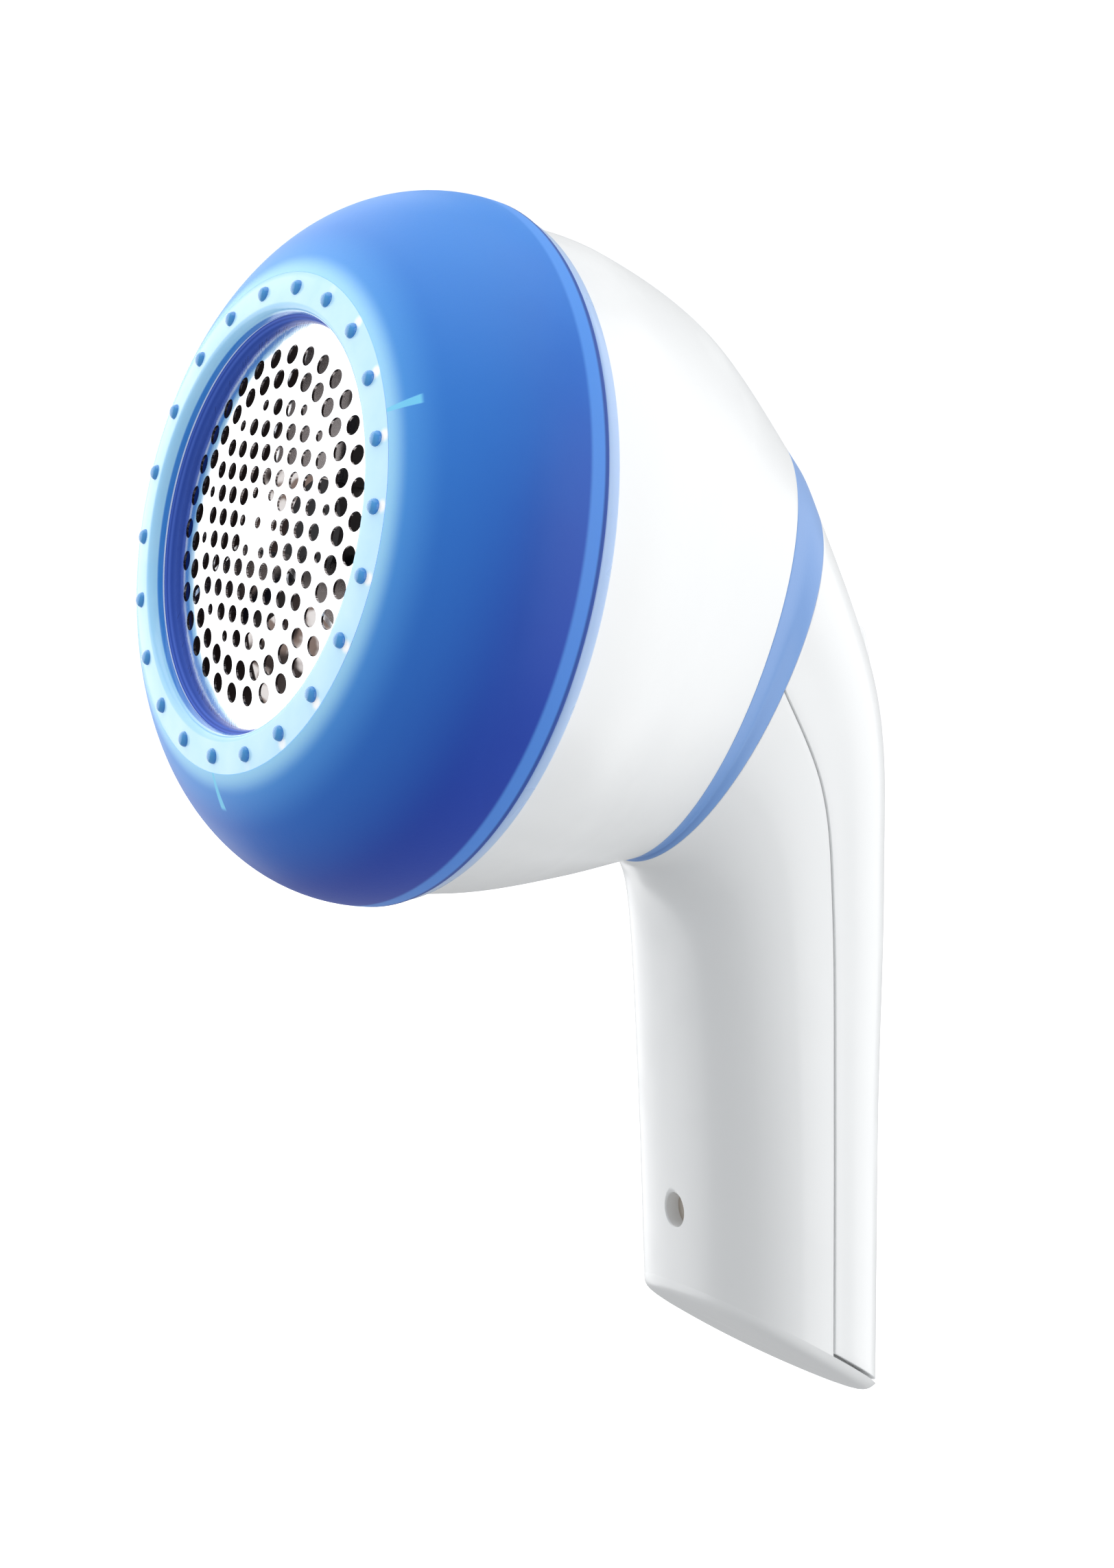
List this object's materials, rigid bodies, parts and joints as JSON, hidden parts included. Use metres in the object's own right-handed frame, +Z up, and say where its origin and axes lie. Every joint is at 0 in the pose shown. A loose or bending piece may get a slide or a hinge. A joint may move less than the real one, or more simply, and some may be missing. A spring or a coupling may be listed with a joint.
{
  "type": "fabric shaver",
  "caption": "Hand-held fabric shaver: domed perforated foil in a nubbed guard, spinning blades behind it, and a leaning handle with a thumb switch and a charging socket.",
  "frame": {"origin": "middle of the shaving face, on the head axis, level with the guard's flat ring", "axes": "-Y out of the shaving face towards the cloth, +Z up away from the handle, +X sideways; the part is symmetric about X = 0"},
  "size_m": [0.0832, 0.1027, 0.133],
  "materials": {
    "guard_blue": "frosted translucent blue",
    "face_clear": "clear",
    "collar_pale": "satin",
    "foil_steel": "polished",
    "steel": "satin",
    "white_gloss": "glossy",
    "band_blue": "satin",
    "chamber_clear": "clear",
    "black_plastic": "matte",
    "white_plastic": "matte",
    "felt": "felt",
    "motor_steel": "plated",
    "magnet": "sintered",
    "bronze": "oiled",
    "contact_brass": "bright",
    "copper": "enamelled",
    "cell_green": "shrink sleeve",
    "board_green": "solder mask",
    "wire_yellow": "satin",
    "wire_red": "satin",
    "wire_black": "satin"
  },
  "bodies": {
    "body": {"collar_ring": "collar_pale", "lint_chamber": "chamber_clear", "shaft_seal": "felt", "motor_bulkhead": "white_plastic", "motor_can": "motor_steel", "motor_magnets": "magnet", "motor_end_cap": "black_plastic", "motor_bushes": "bronze", "motor_terminals": "contact_brass", "motor_screws": "steel", "head_housing": "white_gloss", "accent_band": "band_blue", "handle_shell": "white_gloss", "rear_cover": "white_gloss", "end_cap": "white_gloss", "cover_screws": "steel", "switch_body": "black_plastic", "switch_pins": "contact_brass", "battery_cell_1": "cell_green", "battery_cell_2": "cell_green", "battery_cradle": "white_plastic", "battery_link": "steel", "battery_tabs": "steel", "charge_board": "board_green", "board_components": "black_plastic", "dc_socket": "black_plastic", "motor_wire": "wire_yellow", "switch_wire": "wire_red", "battery_wire": "wire_black", "charge_wire_front": "wire_red", "charge_wire_back": "wire_black"},
    "guard": {"guard_cap": "guard_blue", "face_ring": "face_clear"},
    "foil_head": {"foil": "foil_steel", "foil_ring": "steel"},
    "rotor": {"motor_shaft": "steel", "armature": "copper", "commutator": "copper", "drive_sleeve": "white_plastic", "blade_spring": "steel"},
    "blade_unit": {"blade_hub": "black_plastic", "cutter_blade_1": "steel", "cutter_blade_2": "steel", "cutter_blade_3": "steel"},
    "thumb_switch": {"switch_knob": "band_blue", "switch_wiper": "contact_brass"}
  },
  "joints": [
    {"name": "guard_pull", "type": "slide", "parent": "body", "child": "guard", "axis": [0, -1, 0], "range_m": [0, 0.03]},
    {"name": "foil_twist", "type": "hinge", "parent": "body", "child": "foil_head", "pos_m": [0, 0, 0], "axis": [0, -1, 0], "range_deg": [0, 25]},
    {"name": "blade_spin", "type": "hinge", "parent": "body", "child": "rotor", "pos_m": [0, 0.04, 0], "axis": [0, -1, 0], "continuous": true},
    {"name": "blade_float", "type": "slide", "parent": "rotor", "child": "blade_unit", "axis": [0, 1, 0], "range_m": [0, 0.001], "stiffness_N_per_m": 400, "springref_m": -0.002, "deforming": ["blade_spring"]},
    {"name": "switch_slide", "type": "slide", "parent": "body", "child": "thumb_switch", "axis": [0, 0.3856, -0.9227], "range_m": [0, 0.004]}
  ]
}
